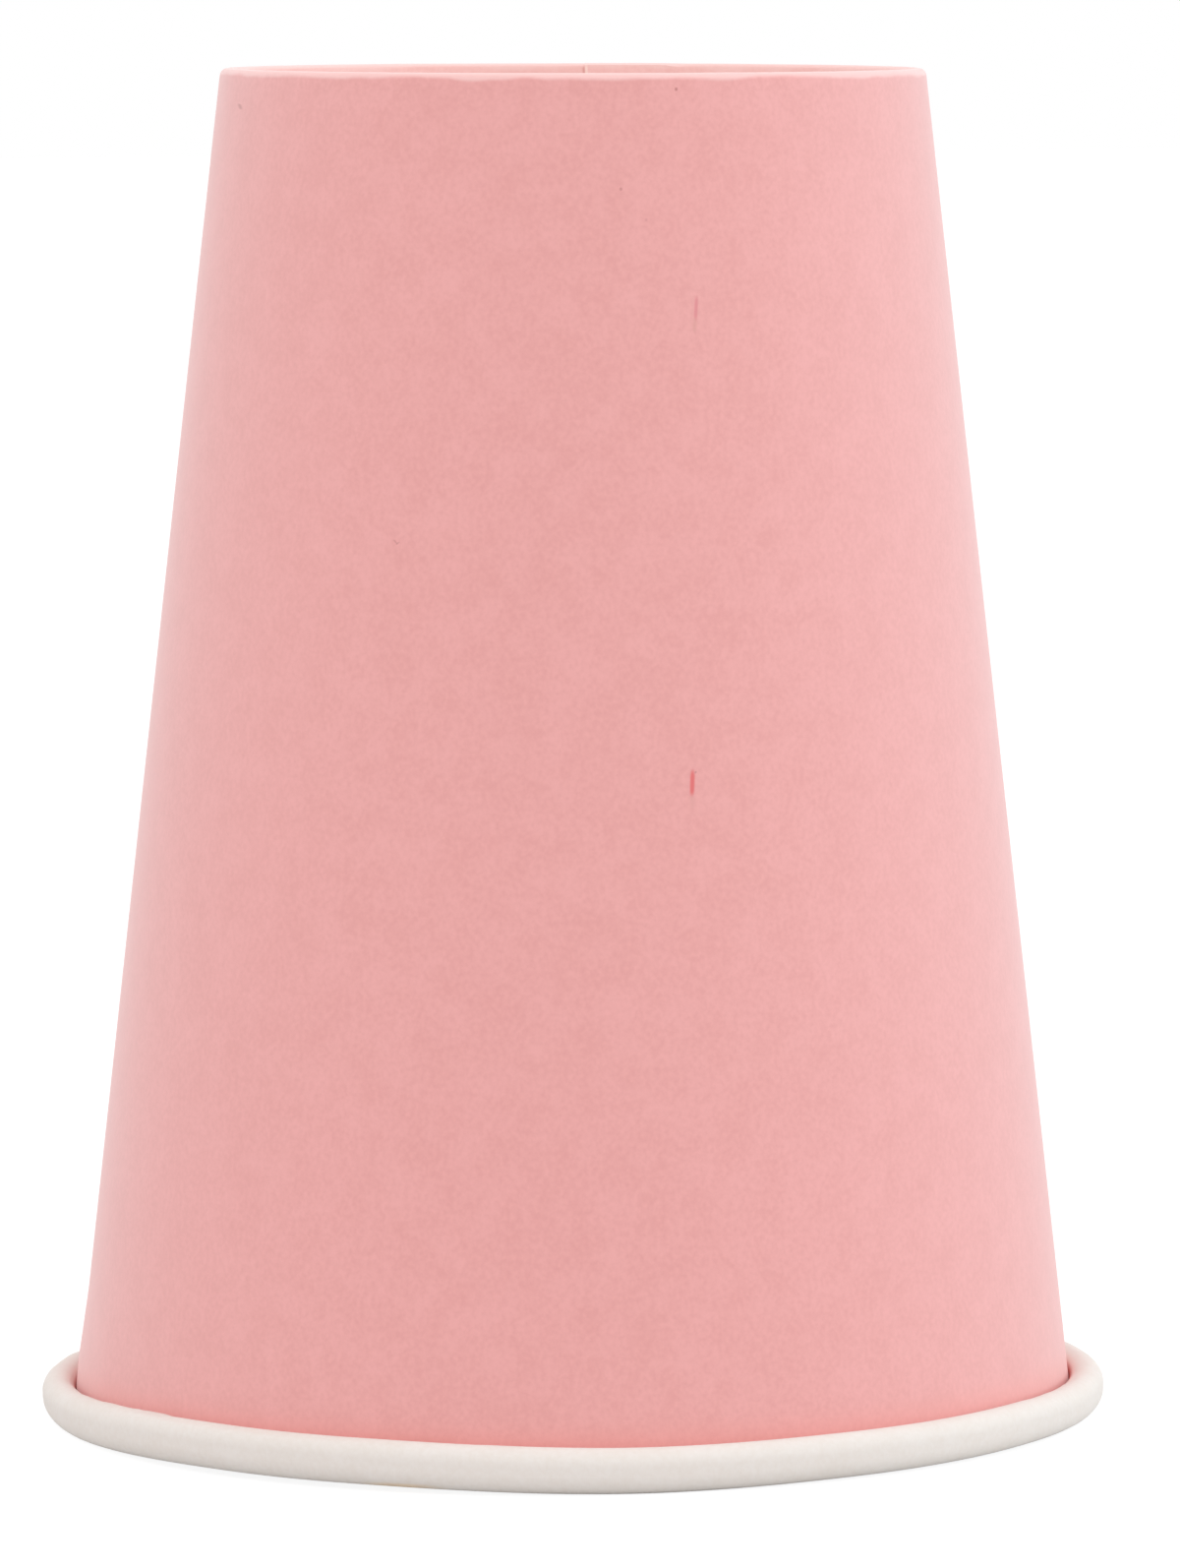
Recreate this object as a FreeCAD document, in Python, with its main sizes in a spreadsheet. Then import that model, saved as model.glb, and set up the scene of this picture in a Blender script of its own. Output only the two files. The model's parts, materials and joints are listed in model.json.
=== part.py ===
import FreeCAD, Part

import math
import os

import Sketcher

# A paper cup standing upside down on its rolled rim, as two sheets of paper.
# side_wall is one blank: rolled out at the rim, up the cone, lapped and glued
# down the back, and folded in over the base at the top.  base_disc is a flat
# disc whose skirt is clamped between the wall and that fold.
# Frame: the axis of the cup is Z, the rim stands on z = 0, the seam is at +Y.

# Driving dimensions in millimetres, diameters and radii to the outer faces.
SIZES = {
    "rim_diameter": 90.0,      # over the rolled rim
    "roll_projection": 2.7,    # the rim beyond the cone's outer face at z = 0
    "base_radius": 29.5,       # outer face of the cone at the folded end
    "cup_height": 113.2,
    "paper": 0.33,             # the side wall's sheet
    "base_paper": 0.33,        # the base's sheet
    "curl_height": 3.75,       # rolled rim, from z = 0 to its top
    "curl_gap": 0.1,           # between the rolled end and the wall
    "curl_end": 1.75,          # height at which the rolled end stops
    "fold_radius": 0.25,       # centre line of the two bends of the folded end
    "recess_depth": 7.4,       # from the folded end's top down to the base
    "base_bend": 0.4,          # inner radius where the base turns into its skirt
    "hem_clearance": 0.4,      # between the hem's cut edge and that bend
    "skirt_clearance": 0.12,   # between the skirt's cut edge and the fold
    "seam_width": 8.0,
    "seam_offset": 1.2,        # seam's cut edge, to the side of the YZ plane
    "seam_glue": 0.02,         # how far the lap is pressed into the wall
}

doc = FreeCAD.newDocument("paper_cup")
sheet = doc.addObject("Spreadsheet::Sheet", "sizes")
for row, (alias, value) in enumerate(SIZES.items(), start=1):
    sheet.set("A%d" % row, alias)
    sheet.set("B%d" % row, str(value))
    sheet.setAlias("B%d" % row, alias)
doc.recompute()

# How Sketcher counts a curve's ends and a sketch's own axes and first curve.
START, END = range(1, 3)
VERTICAL_AXIS, HORIZONTAL_AXIS, WALL_FACE = range(-2, 1)
ORIGIN = HORIZONTAL_AXIS


def size(alias):
    """The value of a cell, for drawing a sketch near its final place."""
    return float(sheet.get(alias))


def xyz(radius, height):
    """A point of a section, drawn in the sketch's own plane."""
    return FreeCAD.Vector(radius, height, 0)


# The cone's outer face, as a straight line in every section.
FOOT = size("rim_diameter") / 2 - size("roll_projection")
SLOPE = (FOOT - size("base_radius")) / size("cup_height")
SLANT = math.hypot(1.0, SLOPE)
TILT = math.degrees(math.atan(SLOPE))

# Height of the hem's cut edge, which stops short of the base's bend.
HEM_EDGE = size("cup_height") - size("recess_depth") + size("base_bend") + size("hem_clearance")
HEM_EDGE_SIZE = "sizes.cup_height - sizes.recess_depth + sizes.base_bend + sizes.hem_clearance"


def face(height, depth=0.0):
    """Point of the section at a height, at a depth square to the outer face."""
    radius = FOOT - SLOPE * height - depth * SLANT
    return xyz(radius, height)


def square(distance):
    """A step outwards, square to the cone's outer face."""
    return xyz(distance / SLANT, distance * SLOPE / SLANT)


def section(name):
    """A sketch on the XZ plane, with the cone's outer face as construction."""
    sketch = doc.addObject("Sketcher::SketchObject", name)
    sketch.Placement = FreeCAD.Placement(
        FreeCAD.Vector(0, 0, 0), FreeCAD.Rotation(FreeCAD.Vector(1, 0, 0), 90)
    )
    line = guide(sketch, face(0), face(size("cup_height")))
    foot = "sizes.rim_diameter / 2 - sizes.roll_projection"
    bind(sketch, "DistanceX", (ORIGIN, START, line, START), foot)
    sketch.addConstraint(Sketcher.Constraint("PointOnObject", line, START, HORIZONTAL_AXIS))
    bind(sketch, "DistanceX", (ORIGIN, START, line, END), "sizes.base_radius")
    bind(sketch, "DistanceY", (ORIGIN, START, line, END), "sizes.cup_height")
    return sketch


def bind(sketch, kind, where, expression):
    """Add a dimension to a sketch and tie it to the sheet."""
    value = sketch.evalExpression(expression)
    index = sketch.addConstraint(Sketcher.Constraint(kind, *where, float(value)))
    sketch.setExpression("Constraints[%d]" % index, expression)


def line_between(sketch, first, last):
    """Add a straight line to a sketch."""
    return sketch.addGeometry(Part.LineSegment(first, last))


def guide(sketch, first, last):
    """Add a straight construction line to a sketch."""
    return sketch.addGeometry(Part.LineSegment(first, last), True)


def arc_between(sketch, centre, radius, start, end):
    """Add an arc to a sketch, anticlockwise between two angles in degrees."""
    circle = Part.Circle(centre, FreeCAD.Vector(0, 0, 1), radius)
    return sketch.addGeometry(Part.ArcOfCircle(circle, math.radians(start), math.radians(end)))


def joined(sketch, kind, pairs):
    """Join the ends of curves: "Tangent" smoothly, "Coincident" as a corner."""
    for pair in pairs:
        sketch.addConstraint(Sketcher.Constraint(kind, *pair))


def along_wall(sketch, line, depth):
    """Hold a line parallel to the cone's outer face, at a distance from it."""
    sketch.addConstraint(Sketcher.Constraint("Parallel", line, WALL_FACE))
    bind(sketch, "Distance", (line, START, WALL_FACE), depth)


def level(sketch, line, height):
    """Hold a line horizontal, at a height given by the sheet."""
    sketch.addConstraint(Sketcher.Constraint("Horizontal", line))
    bind(sketch, "DistanceY", (ORIGIN, START, line, START), height)


def touch_level(sketch, arc, height, expression):
    """Hold an arc against a horizontal guide that runs out from the axis."""
    line = guide(sketch, xyz(0, height), xyz(size("rim_diameter") / 2, height))
    level(sketch, line, expression)
    sketch.addConstraint(Sketcher.Constraint("PointOnObject", line, START, VERTICAL_AXIS))
    bind(sketch, "DistanceX", (line, START, line, END), "sizes.rim_diameter / 2")
    sketch.addConstraint(Sketcher.Constraint("Tangent", arc, line))


def touch_wall(sketch, arc, depth, expression):
    """Hold an arc against a guide that runs along the wall, outside it."""
    line = guide(sketch, face(0, depth), face(size("cup_height"), depth))
    along_wall(sketch, line, expression)
    sketch.addConstraint(Sketcher.Constraint("PointOnObject", line, START, HORIZONTAL_AXIS))
    bind(sketch, "DistanceY", (ORIGIN, START, line, END), "sizes.cup_height")
    sketch.addConstraint(Sketcher.Constraint("Tangent", arc, line))


def sheet_section():
    """Centre line of the side wall's paper, from the rolled end to the hem's edge."""
    half = size("paper") / 2
    rim = size("rim_diameter") / 2 - half

    # The lower bend of the rim touches the wall, the rim's side and the ground.
    bend = (rim - face(half, half).x) / (1 + SLANT - SLOPE)
    low = xyz(rim - bend, half + bend)

    # The upper bend touches the rim's side and its top, and clears the wall.
    crown = size("curl_height") - half
    clear = -size("curl_gap") - half
    roll = (rim - face(crown, clear).x) / (1 + SLANT + SLOPE)
    high = xyz(rim - roll, crown - roll)
    roll_end = 180 + math.degrees(math.asin((high.y - size("curl_end")) / roll))

    # The two bends of the fold join the level land to the slanting sheets.
    fold = size("fold_radius")
    hem_depth = 3 * half + size("base_paper")
    top = size("cup_height") - half
    outer = face(top - fold, half + fold)
    inner = face(top - fold, hem_depth - fold)

    sketch = section("sheet_section")
    rolled_end = arc_between(sketch, high, roll, 0, roll_end)
    side = line_between(sketch, xyz(rim, high.y), xyz(rim, low.y))
    low_bend = arc_between(sketch, low, bend, 180 + TILT, 360)
    wall = line_between(sketch, low - square(bend), outer + square(fold))
    fold_out = arc_between(sketch, outer, fold, TILT, 90)
    land = line_between(sketch, xyz(outer.x, top), xyz(inner.x, top))
    fold_in = arc_between(sketch, inner, fold, 90, 180 + TILT)
    hem_end = face(HEM_EDGE, hem_depth)
    hem = line_between(sketch, inner - square(fold), hem_end)

    joined(sketch, "Tangent", [
        (rolled_end, START, side, START),
        (side, END, low_bend, END),
        (low_bend, START, wall, START),
        (wall, END, fold_out, START),
        (fold_out, END, land, START),
        (land, END, fold_in, START),
        (fold_in, END, hem, START),
    ])
    sketch.addConstraint(Sketcher.Constraint("Vertical", side))
    bind(sketch, "DistanceX", (ORIGIN, START, side, START), "(sizes.rim_diameter - sizes.paper) / 2")
    along_wall(sketch, wall, "sizes.paper / 2")
    along_wall(sketch, hem, "sizes.paper * 1.5 + sizes.base_paper")
    level(sketch, land, "sizes.cup_height - sizes.paper / 2")
    touch_level(sketch, low_bend, half, "sizes.paper / 2")
    touch_level(sketch, rolled_end, crown, "sizes.curl_height - sizes.paper / 2")
    touch_wall(sketch, rolled_end, clear, "sizes.curl_gap + sizes.paper / 2")
    bind(sketch, "DistanceY", (ORIGIN, START, rolled_end, END), "sizes.curl_end")
    bind(sketch, "Radius", (fold_out,), "sizes.fold_radius")
    bind(sketch, "Radius", (fold_in,), "sizes.fold_radius")
    bind(sketch, "DistanceY", (ORIGIN, START, hem, END), HEM_EDGE_SIZE)
    return sketch


def lap_strip(sketch, depths, heights):
    """One layer of the lap, between two depths and two heights.

    Each depth and height is a number to draw at and its expression.
    """
    (near, near_size), (far, far_size) = depths
    (foot, foot_size), (top, top_size) = heights
    up = line_between(sketch, face(foot, near), face(top, near))
    across = line_between(sketch, face(top, near), face(top, far))
    down = line_between(sketch, face(top, far), face(foot, far))
    back = line_between(sketch, face(foot, far), face(foot, near))
    joined(sketch, "Coincident", [
        (up, END, across, START),
        (across, END, down, START),
        (down, END, back, START),
        (back, END, up, START),
    ])
    along_wall(sketch, up, near_size)
    along_wall(sketch, down, far_size)
    level(sketch, across, top_size)
    level(sketch, back, foot_size)


def lap_section():
    """The second layer of paper at the seam, on the wall and on the hem."""
    paper = size("paper")
    glue = size("seam_glue")
    hem_face = 2 * paper + size("base_paper")
    top = size("cup_height") - size("fold_radius") - paper / 2
    top_size = "sizes.cup_height - sizes.fold_radius - sizes.paper / 2"

    sketch = section("lap_section")
    lap_strip(
        sketch,
        [(glue, "sizes.seam_glue"), (-paper, "sizes.paper")],
        [(size("curl_height"), "sizes.curl_height"), (top, top_size)],
    )
    lap_strip(
        sketch,
        [
            (hem_face - glue, "sizes.paper * 2 + sizes.base_paper - sizes.seam_glue"),
            (hem_face + paper, "sizes.paper * 3 + sizes.base_paper"),
        ],
        [(HEM_EDGE, HEM_EDGE_SIZE), (top, top_size)],
    )
    return sketch


def base_section():
    """The base: a disc that turns up into a skirt along the wall's inner face."""
    paper = size("paper")
    sheet_depth = paper + size("base_paper")
    inner_bend = size("base_bend")
    outer_bend = inner_bend + size("base_paper")
    floor = size("cup_height") - size("recess_depth")
    under = floor - size("base_paper")
    edge = size("cup_height") - paper - size("skirt_clearance")
    bend_at = face(floor + inner_bend, sheet_depth + inner_bend)

    sketch = section("base_section")
    disc_under = line_between(sketch, xyz(0, under), xyz(bend_at.x, under))
    bend_out = arc_between(sketch, bend_at, outer_bend, 270, 360 + TILT)
    skirt_out = line_between(sketch, bend_at + square(outer_bend), face(edge, paper))
    skirt_edge = line_between(sketch, face(edge, paper), face(edge, sheet_depth))
    skirt_in = line_between(sketch, face(edge, sheet_depth), bend_at + square(inner_bend))
    bend_in = arc_between(sketch, bend_at, inner_bend, 270, 360 + TILT)
    disc_top = line_between(sketch, xyz(bend_at.x, floor), xyz(0, floor))
    axis = line_between(sketch, xyz(0, floor), xyz(0, under))

    joined(sketch, "Tangent", [
        (disc_under, END, bend_out, START),
        (bend_out, END, skirt_out, START),
        (skirt_in, END, bend_in, END),
        (bend_in, START, disc_top, START),
    ])
    joined(sketch, "Coincident", [
        (skirt_out, END, skirt_edge, START),
        (skirt_edge, END, skirt_in, START),
        (disc_top, END, axis, START),
        (axis, END, disc_under, START),
    ])
    sketch.addConstraint(Sketcher.Constraint("Vertical", axis))
    sketch.addConstraint(Sketcher.Constraint("PointOnObject", axis, START, VERTICAL_AXIS))
    along_wall(sketch, skirt_out, "sizes.paper")
    along_wall(sketch, skirt_in, "sizes.paper + sizes.base_paper")
    level(sketch, disc_under, "sizes.cup_height - sizes.recess_depth - sizes.base_paper")
    level(sketch, disc_top, "sizes.cup_height - sizes.recess_depth")
    level(sketch, skirt_edge, "sizes.cup_height - sizes.paper - sizes.skirt_clearance")
    bind(sketch, "Radius", (bend_out,), "sizes.base_bend + sizes.base_paper")
    bind(sketch, "Radius", (bend_in,), "sizes.base_bend")
    return sketch


def turned(name, profile, angle):
    """A section turned about the cup's axis, from +X towards +Y."""
    solid = doc.addObject("Part::Revolution", name)
    solid.Source = profile
    solid.Axis = FreeCAD.Vector(0, 0, 1)
    solid.Angle = angle
    solid.Solid = True
    return solid


def build_side_wall():
    """The rolled, folded sheet and the lap of its side seam."""
    band = doc.addObject("Part::Offset2D", "paper_band")
    band.Source = sheet_section()
    band.setExpression("Value", "sizes.paper / 2")
    band.Mode = "Pipe"
    band.Fill = True

    strip = doc.addObject("Part::Box", "seam_strip")
    strip.setExpression("Length", "sizes.seam_width")
    strip.setExpression("Width", "sizes.rim_diameter / 2")
    strip.setExpression("Height", "sizes.cup_height")
    strip.setExpression("Placement.Base.x", "sizes.seam_offset")

    lap = doc.addObject("Part::Common", "seam_lap")
    lap.Base = turned("lap_layers", lap_section(), 180)
    lap.Tool = strip

    side_wall = doc.addObject("Part::Fuse", "side_wall")
    side_wall.Base = turned("sheet", band, 360)
    side_wall.Tool = lap
    return side_wall


def build_base_disc():
    """The base, turned from its own section."""
    return turned("base_disc", base_section(), 360)


def export(parts):
    """Check every object and each part's solid, and write the parts out."""
    doc.recompute()
    for item in doc.Objects:
        if "Invalid" in item.State or "Error" in item.State:
            raise RuntimeError("%s failed: %s" % (item.Name, item.State))
    os.makedirs("parts", exist_ok=True)
    for part in parts:
        shape = part.Shape
        if shape.isNull() or not shape.isValid() or len(shape.Solids) != 1:
            raise RuntimeError("%s is not one valid solid" % part.Label)
        shape.exportStep(os.path.join("parts", part.Label + ".step"))


export([build_side_wall(), build_base_disc()])
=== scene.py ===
"""Looks of a pink paper cup that stands upside down on its white rolled rim."""

from __future__ import annotations

import json
import logging
import math
from abc import ABC, abstractmethod
from dataclasses import dataclass, field, replace
from enum import Enum, IntEnum
from typing import Callable, Iterable, Union

import bmesh
import bpy
from mathutils import Matrix, Vector

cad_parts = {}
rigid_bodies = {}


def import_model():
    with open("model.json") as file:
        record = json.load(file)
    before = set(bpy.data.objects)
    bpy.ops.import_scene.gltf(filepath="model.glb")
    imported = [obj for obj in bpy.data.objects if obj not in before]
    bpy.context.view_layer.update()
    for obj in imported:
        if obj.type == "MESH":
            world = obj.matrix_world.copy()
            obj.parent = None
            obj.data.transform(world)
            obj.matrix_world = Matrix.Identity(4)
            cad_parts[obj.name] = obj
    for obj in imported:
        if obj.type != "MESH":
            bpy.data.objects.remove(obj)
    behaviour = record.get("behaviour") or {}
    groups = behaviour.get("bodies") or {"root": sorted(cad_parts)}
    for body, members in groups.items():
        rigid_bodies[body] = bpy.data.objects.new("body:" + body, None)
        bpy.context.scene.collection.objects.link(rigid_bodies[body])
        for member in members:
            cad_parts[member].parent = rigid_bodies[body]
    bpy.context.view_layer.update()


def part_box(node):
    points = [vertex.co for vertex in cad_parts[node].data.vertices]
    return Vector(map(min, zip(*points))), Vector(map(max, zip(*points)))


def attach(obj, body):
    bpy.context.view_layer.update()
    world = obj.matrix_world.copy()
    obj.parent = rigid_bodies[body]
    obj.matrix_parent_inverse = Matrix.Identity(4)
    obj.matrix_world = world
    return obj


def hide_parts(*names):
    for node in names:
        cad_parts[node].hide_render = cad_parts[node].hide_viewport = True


log = logging.getLogger("paper_cup")

MM = 0.001
SAME_POINT = 1e-7                      # metres between two points that count as one
SMOOTH_BELOW = math.radians(50)        # faces that meet at less are shaded as one

Colour = tuple[float, float, float]
Place = tuple[float, float, float]
SectionPoint = tuple[float, float]     # radius and height
VertexTest = Callable[[bmesh.types.BMVert], bool]
Source = Union[bpy.types.NodeSocket, float, tuple]


def srgb(red: int, green: int, blue: int) -> Colour:
    """Turn a colour picker's values into linear light.

    Args:
        red: from 0 to 255.
        green: from 0 to 255.
        blue: from 0 to 255.

    Returns:
        The colour as linear light, each channel from 0 to 1.
    """

    def linear(value: int) -> float:
        """One channel by the sRGB curve."""
        part = value / 255
        return part / 12.92 if part <= 0.04045 else ((part + 0.055) / 1.055) ** 2.4

    return linear(red), linear(green), linear(blue)


def clamp(share: float) -> float:
    """Keep a share between 0 and 1."""
    return min(1.0, max(0.0, share))


# ---------------------------------------------------------------- sizes


@dataclass(frozen=True)
class CupSizes:
    """The cup's sizes in metres: the outer ones from the frame, the rest of the sheet."""

    rim: float                         # outer radius of the rolled rim
    height: float
    foot: float = 42.3 * MM            # outer radius of the cone at the level of the mouth
    base: float = 29.5 * MM            # outer radius of the cone at its small end
    paper: float = 0.33 * MM
    curl_height: float = 3.75 * MM
    curl_gap: float = 0.03 * MM        # between the roll and the wall
    curl_end: float = 1.75 * MM        # height of the sheet's end inside the roll
    fold_outer: float = 0.50 * MM      # centre line of the bend from the wall to the land
    fold_inner: float = 0.16 * MM      # centre line of the bend from the land to the hem
    hem_depth: float = 6.6 * MM
    recess: float = 7.4 * MM           # from the fold's crest down to the base
    skirt_clearance: float = 0.12 * MM
    base_bend: float = 0.4 * MM        # inner radius of the bend from the base to its skirt

    @classmethod
    def from_frame(cls) -> CupSizes:
        """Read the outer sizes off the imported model."""
        low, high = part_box("side_wall")
        return cls(rim=(high.x - low.x) / 2, height=high.z - low.z)

    @property
    def slope(self) -> float:
        """How much the wall's radius shrinks for each metre of height."""
        return (self.foot - self.base) / self.height

    @property
    def slant(self) -> float:
        """Length along the wall for each metre of height."""
        return math.hypot(1.0, self.slope)

    def face(self, height: float, depth: float = 0.0) -> SectionPoint:
        """Radius and height of a point at a depth behind the wall's outer face."""
        return self.foot - self.slope * height - depth * self.slant, height


@dataclass
class Outline:
    """A section of a sheet, as points of radius and height."""

    points: list[SectionPoint] = field(default_factory=list)

    def line(self, end: SectionPoint, pieces: int) -> None:
        """Add a straight run.

        Args:
            end: where it ends.
            pieces: how many equal lengths it is divided into.
        """
        start = self.points[-1]
        for step in range(1, pieces + 1):
            share = step / pieces
            self.points.append(tuple(a + (b - a) * share for a, b in zip(start, end)))

    def arc(
        self, centre: SectionPoint, radius: float, first: float, last: float, pieces: int
    ) -> None:
        """Add a round run.

        Args:
            centre: the arc's centre.
            radius: the arc's own radius.
            first: direction of its start, in degrees.
            last: direction of its end, in degrees.
            pieces: how many equal lengths it is divided into.
        """
        for step in range(pieces + 1):
            angle = math.radians(first + (last - first) * step / pieces)
            point = (centre[0] + radius * math.cos(angle), centre[1] + radius * math.sin(angle))
            if not self.points or math.dist(point, self.points[-1]) > SAME_POINT:
                self.points.append(point)


# ---------------------------------------------------------------- modelling helpers


class SheetSide(IntEnum):
    """Material slots of a sheet of paper, in the order that Solidify needs."""

    PRINTED = 0
    INSIDE = 1
    CUT_EDGE = 2
    HEM = 3            # the printed side again, where the sheet is folded in


def deselect_everything() -> None:
    """Leave nothing selected, so that the next operator acts on its own piece."""
    for item in bpy.context.scene.objects:
        item.select_set(False)


def make_active(piece: bpy.types.Object) -> None:
    """Select one piece alone and make it active.

    Args:
        piece: that piece.
    """
    deselect_everything()
    piece.select_set(True)
    bpy.context.view_layer.objects.active = piece


def choose(piece: bpy.types.Object, wanted: VertexTest) -> None:
    """Select the vertices that a test picks, and no others.

    Args:
        piece: the piece, in edit mode.
        wanted: the test of one vertex.
    """
    mesh = bmesh.from_edit_mesh(piece.data)
    for vertex in mesh.verts:
        vertex.select = wanted(vertex)
    mesh.select_flush_mode()
    mesh.select_flush(True)
    bmesh.update_edit_mesh(piece.data)


def narrow(piece: bpy.types.Object, wanted: VertexTest) -> None:
    """Keep selected only those selected vertices that a test picks.

    Args:
        piece: the piece, in edit mode.
        wanted: the test of one vertex.
    """
    mesh = bmesh.from_edit_mesh(piece.data)
    keep = {vertex.index for vertex in mesh.verts if vertex.select and wanted(vertex)}
    choose(piece, lambda vertex: vertex.index in keep)


def draw_outline(name: str, outline: Outline, angle: float) -> bpy.types.Object:
    """Draw a section as a chain of edges in a plane through the axis.

    Args:
        name: the new piece's name.
        outline: the section's points.
        angle: direction of the plane from +X, in degrees.

    Returns:
        The piece, in edit mode with all of it selected.
    """
    turn = math.radians(angle)
    places = [Vector((r * math.cos(turn), r * math.sin(turn), z)) for r, z in outline.points]
    deselect_everything()
    bpy.ops.mesh.primitive_plane_add(size=MM, location=(0, 0, 0))
    piece = bpy.context.active_object
    piece.name = piece.data.name = name
    bpy.ops.object.mode_set(mode="EDIT")
    bpy.ops.mesh.select_mode(type="VERT")
    bpy.ops.mesh.select_all(action="SELECT")
    bpy.ops.mesh.merge(type="CENTER")
    bpy.ops.transform.translate(value=places[0])
    for start, end in zip(places, places[1:]):
        bpy.ops.mesh.extrude_region_move(TRANSFORM_OT_translate={"value": end - start})
    bpy.ops.mesh.select_all(action="SELECT")
    return piece


def spin(angle: float, steps: int) -> None:
    """Turn the selected edges about the cup's axis, leaving the last ones selected.

    Args:
        angle: how far, in degrees, counterclockwise as seen from above.
        steps: how many equal turns it is divided into.
    """
    bpy.ops.mesh.spin(
        steps=steps, dupli=False, angle=math.radians(angle), use_auto_merge=False,
        center=(0, 0, 0), axis=(0, 0, -1),
    )


def apply_modifiers(piece: bpy.types.Object) -> None:
    """Apply every modifier of a piece in order.

    Args:
        piece: that piece.
    """
    make_active(piece)
    for modifier in list(piece.modifiers):
        bpy.ops.object.modifier_apply(modifier=modifier.name)


def thicken(piece: bpy.types.Object, paper: float) -> None:
    """Give a sheet its thickness, with slots of their own for the back and the cut edge.

    Args:
        piece: the sheet, as one layer of faces along its middle.
        paper: the paper's thickness.
    """
    layer = piece.modifiers.new("paper", "SOLIDIFY")
    layer.thickness = paper
    layer.offset = 0
    layer.use_even_offset = True
    layer.material_offset = int(SheetSide.INSIDE)
    layer.material_offset_rim = int(SheetSide.CUT_EDGE)


def smooth(piece: bpy.types.Object) -> None:
    """Shade a piece smooth, apart from its cut edges."""
    make_active(piece)
    bpy.ops.object.shade_smooth_by_angle(angle=SMOOTH_BELOW)


# ---------------------------------------------------------------- shared node groups


class Effect(Enum):
    """The node groups that the finishes share, with their names."""

    FIBRE = "paper fibre"
    # soft spots: scuffs, specks and stains, and painted shade, shadow and highlight
    SCUFF = "scuff"
    EDGE_BAND = "edge band"
    # painted reflection of the pink wall on the roll, where the two close up
    CREVICE = "crevice"


class Wiring:
    """Short ways to add and link nodes of one node tree."""

    def __init__(self, tree: bpy.types.NodeTree) -> None:
        """Keep the tree."""
        self.tree = tree

    def node(self, kind: str, **settings: object) -> bpy.types.Node:
        """Add a node.

        Args:
            kind: its Blender type.
            settings: its properties by name.

        Returns:
            The new node.
        """
        node = self.tree.nodes.new(kind)
        for name, value in settings.items():
            setattr(node, name, value)
        return node

    def feed(self, source: Source, target: bpy.types.NodeSocket) -> None:
        """Link a socket into another, or set a plain value there.

        Args:
            source: the socket to link, or the value.
            target: the socket that takes it.
        """
        if isinstance(source, bpy.types.NodeSocket):
            self.tree.links.new(source, target)
        else:
            target.default_value = source

    def effect(
        self, group: bpy.types.ShaderNodeTree, values: dict[str, Source]
    ) -> bpy.types.bpy_prop_collection:
        """Place a shared group with its own values.

        Args:
            group: the shared group.
            values: what is fed into it, by socket.

        Returns:
            The outputs of the new group node.
        """
        node = self.node("ShaderNodeGroup", node_tree=group)
        for name, value in values.items():
            self.feed(value, node.inputs[name])
        return node.outputs

    def maths(self, operation: str, *values: Source) -> bpy.types.NodeSocket:
        """Work a number out of up to three others.

        Args:
            operation: the Math node's operation.
            values: the numbers in its order.

        Returns:
            The result.
        """
        node = self.node("ShaderNodeMath", operation=operation)
        for source, target in zip(values, node.inputs):
            self.feed(source, target)
        return node.outputs[0]

    def spread(
        self, value: Source, low: Source, high: Source, to_low: Source = 0.0, to_high: Source = 1.0
    ) -> bpy.types.NodeSocket:
        """Map a range of values smoothly onto another.

        Args:
            value: the value to map.
            low: where its range starts.
            high: where its range ends.
            to_low: what it becomes at the start.
            to_high: what it becomes at the end.

        Returns:
            The mapped value.
        """
        node = self.node("ShaderNodeMapRange", interpolation_type="SMOOTHSTEP")
        names = ("Value", "From Min", "From Max", "To Min", "To Max")
        for name, source in zip(names, (value, low, high, to_low, to_high)):
            self.feed(source, node.inputs[name])
        return node.outputs["Result"]

    def blend(self, factor: Source, first: Source, second: Source) -> bpy.types.NodeSocket:
        """Mix two colours.

        Args:
            factor: the second colour's share.
            first: the colour where that share is 0.
            second: the colour where it is 1.

        Returns:
            The mixed colour.
        """
        node = self.node("ShaderNodeMix", data_type="RGBA", clamp_factor=True)
        factor_in, first_in, second_in = (node.inputs[place] for place in (0, 6, 7))
        self.feed(factor, factor_in)
        for source, target in ((first, first_in), (second, second_in)):
            self.feed((*source, 1.0) if isinstance(source, tuple) else source, target)
        return node.outputs[2]

    def noise(
        self, place: Source, size: Source, detail: float, roughness: float = 0.5
    ) -> bpy.types.NodeSocket:
        """Add noise whose grains have a size in metres.

        Args:
            place: where on the piece the surface is.
            size: the size of a grain.
            detail: how many finer layers lie on it.
            roughness: how strong those are.

        Returns:
            The noise, about 0.5 on average.
        """
        node = self.node("ShaderNodeTexNoise")
        self.feed(place, node.inputs["Vector"])
        self.feed(self.maths("DIVIDE", 1.0, size), node.inputs["Scale"])
        node.inputs["Detail"].default_value = detail
        node.inputs["Roughness"].default_value = roughness
        return node.outputs["Fac"]

    def axes(self, place: Source) -> list[bpy.types.NodeSocket]:
        """Take a place apart.

        Args:
            place: where on the piece the surface is.

        Returns:
            Its X, Y and Z.
        """
        node = self.node("ShaderNodeSeparateXYZ")
        self.feed(place, node.inputs[0])
        return list(node.outputs)

    def seen_directly(self) -> bpy.types.NodeSocket:
        """Tell what is looked at from what only gives light.

        Returns:
            1 for a ray from the camera, bare, off gloss or through glass, and 0 for others.
        """
        path = self.node("ShaderNodeLightPath").outputs
        direct = self.maths("MAXIMUM", path["Is Camera Ray"], path["Is Glossy Ray"])
        return self.maths("MAXIMUM", direct, path["Is Transmission Ray"])


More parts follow.
